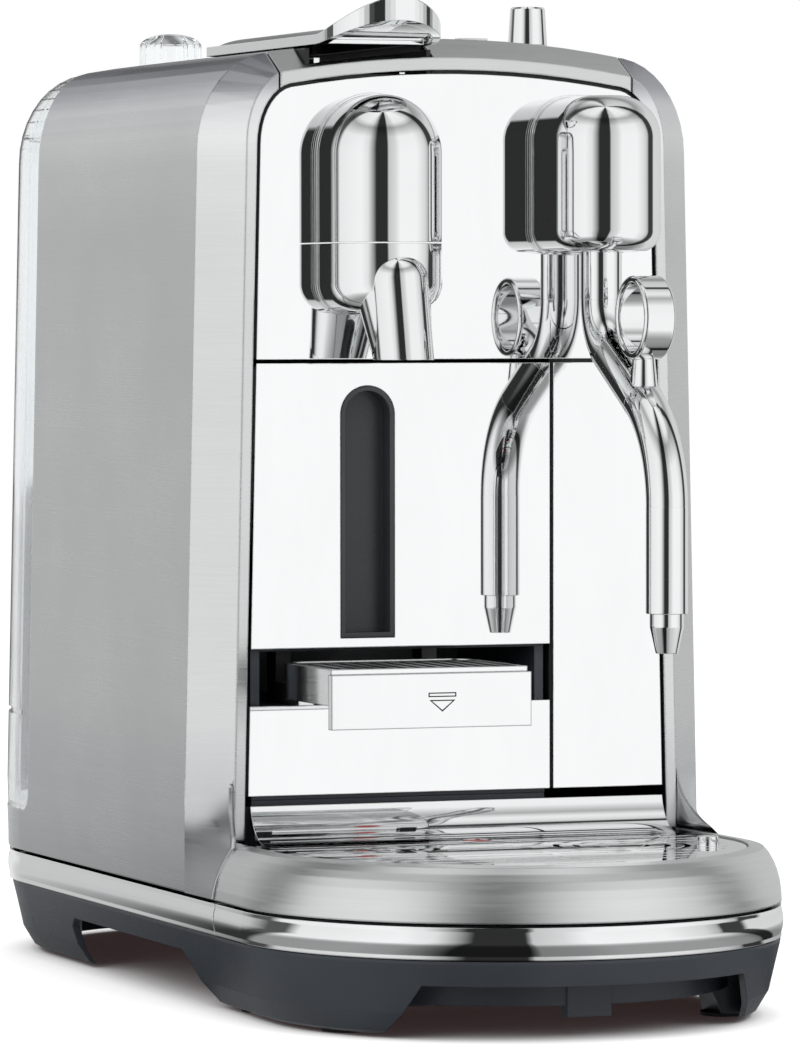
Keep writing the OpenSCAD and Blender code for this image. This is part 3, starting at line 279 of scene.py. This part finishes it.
NODE_MATS = {
    "side": ["left_side_panel", "right_side_panel"],
    "top": ["top_panel"],
    "mirror": ["upper_front_panel", "right_lower_panel", "capsule_panel", "lower_panel"],
    "chrome": ["coffee_head_upper", "coffee_head_lower", "spout", "steam_head", "wand_pivot", "steam_wand",
               "wand_ring", "steam_tip", "lever_shell", "lever_pin", "capsule_guide", "dial", "rear_band",
               "tray_band", "drip_grid", "milk_sensor"],
    "skirt": ["tray_skirt"],
    "inlay": ["lever_inlay"],
    "base": ["rear_cover", "rear_base", "tray_base", "drawer_frame", "capsule_container", "drip_basin"],
    "black": ["mains_inlet", "chassis", "tank_dock", "lever_bezel", "brew_cage", "brew_piston", "cup_grid",
              "pump", "flow_meter"],
    "groove": ["finger_slot"],
    "satin": ["cup_support"],
    "white": ["start_button", "tank_valve"],
    "red": ["drip_float"],
    "rubber": ["rear_foot", "tray_foot"],
    "tank": ["water_tank", "tank_lid", "lid_grip"],
    "screen": ["display_window"],
    "cast": ["thermoblock", "steam_boiler"],
    "board": ["control_board"],
}
for key, names in NODE_MATS.items():
    for name in names:
        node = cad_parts[name]
        node.data.materials.clear()
        node.data.materials.append(MATS[key])


def darken_behind(name, y, key):
    """Faces of a node that lie behind y (metres, at rest) get another material."""
    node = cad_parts[name]
    node.data.materials.append(MATS[key])
    for face in node.data.polygons:
        if (node.matrix_world @ face.center).y > y:
            face.material_index = 1


BEHIND_PANEL_Y = -0.0715
darken_behind("cup_support", BEHIND_PANEL_Y, "black")


# ---------------------------------------------------------------- pieces
def piece(name, verts, faces, mat, body, smooth=False):
    mesh = bpy.data.meshes.new(name)
    mesh.from_pydata([tuple(c * MM for c in v) for v in verts], [], faces)
    bm = bmesh.new()
    bm.from_mesh(mesh)
    bmesh.ops.recalc_face_normals(bm, faces=bm.faces)
    bm.to_mesh(mesh)
    bm.free()
    if smooth:
        mesh.polygons.foreach_set("use_smooth", [True] * len(mesh.polygons))
    mesh.materials.append(MATS[mat])
    ob = bpy.data.objects.new(name, mesh)
    scene.collection.objects.link(ob)
    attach(ob, body)
    return ob


def frame_prism(outer, inner, y0, y1):
    """A closed outline with an opening, in x and z, from y0 to y1."""
    n = len(outer)
    verts = [(x, y, z) for y in (y0, y1) for ring in (outer, inner) for x, z in ring]
    faces = []
    for i in range(n):
        j = (i + 1) % n
        faces += [(i, j, n + j, n + i), (2 * n + i, 3 * n + i, 3 * n + j, 2 * n + j),
                  (i, 2 * n + i, 2 * n + j, j), (n + i, n + j, 3 * n + j, 3 * n + i)]
    return verts, faces


def support_icon():
    """Bar and triangle printed on the front of the cup support."""
    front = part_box("cup_support")[0].y / MM
    cx, line = -24.2, 0.36              # middle of the mark, width of its line
    into, proud = 0.1, 0.06             # how far it lies in the plate and stands out of it
    bar_w, bar_top, bar_low = 4.46, 98.65, 97.28
    tri_w, tri_top, tri_tip = 4.2, 96.42, 92.84
    bar = [(cx - bar_w, bar_low), (cx + bar_w, bar_low), (cx + bar_w, bar_top), (cx - bar_w, bar_top)]
    bar_in = [(cx - bar_w + line, bar_low + line), (cx + bar_w - line, bar_low + line),
              (cx + bar_w - line, bar_top - line), (cx - bar_w + line, bar_top - line)]
    tri = [(cx - tri_w, tri_top), (cx, tri_tip), (cx + tri_w, tri_top)]
    tri_in = [(cx - tri_w + 2.5 * line, tri_top - line), (cx, tri_tip + 1.5 * line),
              (cx + tri_w - 2.5 * line, tri_top - line)]
    for name, outer, inner in (("support_icon_bar", bar, bar_in), ("support_icon_arrow", tri, tri_in)):
        verts, faces = frame_prism(outer, inner, front - proud, front + into)
        piece(name, verts, faces, "black", "cup_support")


def cheek_flare(name, side):
    """Concave sweep of the side's bevel out to the joint with the tray."""
    rows, cols = 22, 9
    top, rim, foot = 70.0, 51.4, 35.2           # heights: out of the bevel, at the tray's edge, at the band
    side_x, side_y = 84.98, -61.4               # crease of the flat side and the bevel
    frame_x, frame_y = 73.3, -73.2              # front edge of the bevel
    joint_x, joint_y = 78.9, -92.6              # joint with the tray, at the rim
    inner_x, lip = 73.4, 4.8                    # inner face, and its depth behind the edge
    arc_x, arc_r, arc_turn = 73.9, 10.25, math.radians(62.0)
    sink, sink_over, slant = 0.25, 6.0, 0.7
    verts = []
    for r in range(rows + 1):
        z = top + (foot - top) * r / rows
        if z > rim:
            t = (top - z) / (top - rim)
            bend = t ** 2.2
            bx, by = frame_x + (joint_x - frame_x) * bend, frame_y + (joint_y - frame_y) * bend
        else:
            t = (rim - z) / (rim - foot)
            bx = arc_x + arc_r * math.cos(arc_turn * (1.0 - t))
            by = joint_y + 6.0 * min(1.0, t)
        # the first rows lie in the bevel, so the sweep comes out of it without a step
        sunk = slant * sink * max(0.0, 1.0 - (top - z) / sink_over)
        bx, by = bx - sunk, by + sunk
        ax, ay = side_x - sunk, side_y + sunk
        for c in range(cols + 1):
            f = c / cols
            verts.append((side * (ax + (bx - ax) * f), ay + (by - ay) * f, z))
        # inner edge, back on the frame
        verts.append((side * max(inner_x, bx - lip * min(1.0, t)), frame_y, z))
    w = cols + 2
    faces = [(r * w + c, r * w + c + 1, (r + 1) * w + c + 1, (r + 1) * w + c)
             for r in range(rows) for c in range(w - 1)]
    return piece(name, verts, faces, "side", "machine", smooth=True)


support_icon()
cheek_flare("cheek_flare_left", -1)
cheek_flare("cheek_flare_right", 1)


# ---------------------------------------------------------------- studio
# brightness round the machine by bearing: 0 is the front, -90 the left
BEARINGS = [(-180, 0.80), (-170, 0.82), (-163, 0.62), (-152, 0.55), (-144, 0.34), (-136, 0.10), (-123, 0.10),
            (-115, 0.90), (-64, 1.0), (-50, 0.85), (-40, 0.35), (-34, 0.03), (-12, 0.03), (-10, 0.62),
            (3, 0.76), (13, 1.0), (48, 1.0), (70, 0.74), (78, 0.45), (80, 0.05), (94, 0.05), (98, 0.74),
            (130, 0.70), (152, 0.60), (161, 0.45), (167, 0.16), (173, 0.16), (180, 0.80)]
RING = [(deg / 360.0 + 0.5, (v, v * 1.005, v * 1.01, 1.0)) for deg, v in BEARINGS]


def make_world():
    world = bpy.data.worlds.new("studio")
    scene.world = world
    world.use_nodes = True
    tree = world.node_tree
    tree.nodes.clear()
    new, link = tree.nodes.new, tree.links.new

    def math_node(op, a, b=0.0, clamp=False):
        n = new("ShaderNodeMath")
        n.operation = op
        n.use_clamp = clamp
        for i, v in enumerate((a, b)):
            if isinstance(v, bpy.types.NodeSocket):
                link(v, n.inputs[i])
            else:
                n.inputs[i].default_value = v
        return n.outputs[0]

    tc = new("ShaderNodeTexCoord")
    xyz = new("ShaderNodeSeparateXYZ")
    link(tc.outputs["Generated"], xyz.inputs[0])
    # bearing: 0 at -Y (the front), +0.25 at +X, -0.25 at -X
    bearing = math_node("DIVIDE", math_node("ARCTAN2", xyz.outputs[0],
                                            math_node("MULTIPLY", xyz.outputs[1], -1.0)), 2 * math.pi)
    ring = new("ShaderNodeValToRGB")
    link(math_node("ADD", bearing, 0.5), ring.inputs[0])
    fill_ramp(ring.color_ramp, RING)
    # from the horizon up to the zenith
    rise = new("ShaderNodeValToRGB")
    link(xyz.outputs[2], rise.inputs[0])
    fill_ramp(rise.color_ramp, [(z, (v, v, v, 1.0)) for z, v in
                                [(0.0, 1.0), (0.5, 0.95), (0.75, 0.45), (0.85, 0.9), (1.0, 1.0)]])
    studio = new("ShaderNodeMix")
    studio.data_type = "RGBA"
    studio.blend_type = "MULTIPLY"
    studio.inputs[0].default_value = 1.0
    link(ring.outputs[0], studio.inputs[6])
    link(rise.outputs[0], studio.inputs[7])
    # camera and glass see white, gloss sees the studio, the rest gets an even light
    path = new("ShaderNodeLightPath")
    white, gloss, even = (new("ShaderNodeBackground") for _ in range(3))
    white.inputs[0].default_value = (1, 1, 1, 1)
    link(studio.outputs[2], gloss.inputs[0])
    even.inputs[0].default_value = (1, 1, 1, 1)
    even.inputs[1].default_value = 0.55
    m1, m2 = new("ShaderNodeMixShader"), new("ShaderNodeMixShader")
    link(path.outputs["Is Glossy Ray"], m1.inputs[0])
    link(even.outputs[0], m1.inputs[1])
    link(gloss.outputs[0], m1.inputs[2])
    seen = math_node("MAXIMUM", path.outputs["Is Camera Ray"], path.outputs["Is Transmission Ray"])
    link(seen, m2.inputs[0])
    link(m1.outputs[0], m2.inputs[1])
    link(white.outputs[0], m2.inputs[2])
    out = new("ShaderNodeOutputWorld")
    link(m2.outputs[0], out.inputs[0])


def make_floor():
    """White paper. It keeps the real shadow at the foot of the machine, and camera rays also see it glow
    white with a painted shadow there; gloss and glass see it glow in the studio's tones, with painted shade
    close to the machine.
    """
    g = Graph("floor_paper")
    fibre = g.noise((40.0, 40.0, 40.0), 4.0, 0.5)
    p = g.principled(Base_Color=g.mix(fibre, grey(0.80), grey(0.82)), Roughness=0.6,
                     Normal=g.bump(fibre, 0.0001, 0.3))
    p.inputs["Specular IOR Level"].default_value = 0.2
    # painted shadow: the even white glow darkens to a brownish black where ambient occlusion finds the
    # machine close
    near = g.node("ShaderNodeAmbientOcclusion", {"Distance": 0.11}, samples=16)
    painted_shadow_mask = g.span(near.outputs["AO"], 0.0, 1.0, 0.10, 0.60)
    glow_with_painted_shadow = g.node("ShaderNodeEmission", {"Color": g.mix(painted_shadow_mask, (0.035, 0.020, 0.020, 1.0), grey(1.0)),
                                         "Strength": 0.72})
    matt = g.node("ShaderNodeBsdfDiffuse", {"Color": grey(0.5)})
    seen = g.node("ShaderNodeAddShader", {0: matt.outputs[0], 1: glow_with_painted_shadow.outputs[0]})
    # what gloss sees of the floor: a glow in the studio's tones by bearing, which is painted light, with
    # painted shade close to the machine
    tc = g.node("ShaderNodeTexCoord")
    xyz = g.node("ShaderNodeSeparateXYZ", {"Vector": tc.outputs["Object"]})
    ahead = g.math("MULTIPLY", g.math("ADD", xyz.outputs[1], 0.1), -1.0)
    turn = g.math("DIVIDE", g.math("ARCTAN2", xyz.outputs[0], ahead), 2 * math.pi)
    ring = g.node("ShaderNodeValToRGB", {"Fac": g.math("ADD", turn, 0.5)})
    fill_ramp(ring.color_ramp, RING)
    away = g.math("SQRT", g.math("ADD", g.math("MULTIPLY", xyz.outputs[0], xyz.outputs[0]),
                                 g.math("MULTIPLY", ahead, ahead)))
    shade = g.mix(g.span(away, 0.0, 1.0, 0.20, 0.38), grey(0.34), grey(1.0))
    bright = g.node("ShaderNodeEmission", {"Color": g.mix(1.0, ring.outputs[0], shade, blend="MULTIPLY"),
                                           "Strength": 1.0})
    path = g.node("ShaderNodeLightPath")
    gloss = g.math("MAXIMUM", path.outputs["Is Glossy Ray"], path.outputs["Is Transmission Ray"])
    first = g.node("ShaderNodeMixShader", {0: gloss, 1: p.outputs[0], 2: bright.outputs[0]})
    mix = g.node("ShaderNodeMixShader", {0: path.outputs["Is Camera Ray"], 1: first.outputs[0],
                                         2: seen.outputs[0]})
    g.tree.links.new(mix.outputs[0], g.out.inputs["Surface"])
    mesh = bpy.data.meshes.new("floor")
    s = 6.0
    mesh.from_pydata([(-s, -s, 0), (s, -s, 0), (s, s, 0), (-s, s, 0)], [], [(0, 1, 2, 3)])
    mesh.materials.append(g.mat)
    floor = bpy.data.objects.new("floor", mesh)
    scene.collection.objects.link(floor)


def lamp(name, place, aim, size, power, spread=math.pi):
    data = bpy.data.lights.new(name, "AREA")
    data.shape = "RECTANGLE"
    data.size, data.size_y = size
    data.energy = power
    data.spread = spread
    ob = bpy.data.objects.new(name, data)
    ob.location = place
    ob.rotation_euler = (Vector(aim) - Vector(place)).to_track_quat("-Z", "Y").to_euler()
    ob.visible_glossy = False
    scene.collection.objects.link(ob)


make_world()
make_floor()
lamp("key", (1.1, -1.5, 1.5), (0, 0, 0.12), (1.2, 1.2), 22.0)
lamp("fill", (-1.7, -0.9, 1.0), (0, 0, 0.15), (1.2, 1.4), 12.0)
lamp("over", (0.0, 0.2, 2.0), (0, 0, 0.1), (1.6, 1.6), 14.0)

scene.view_settings.view_transform = "Standard"
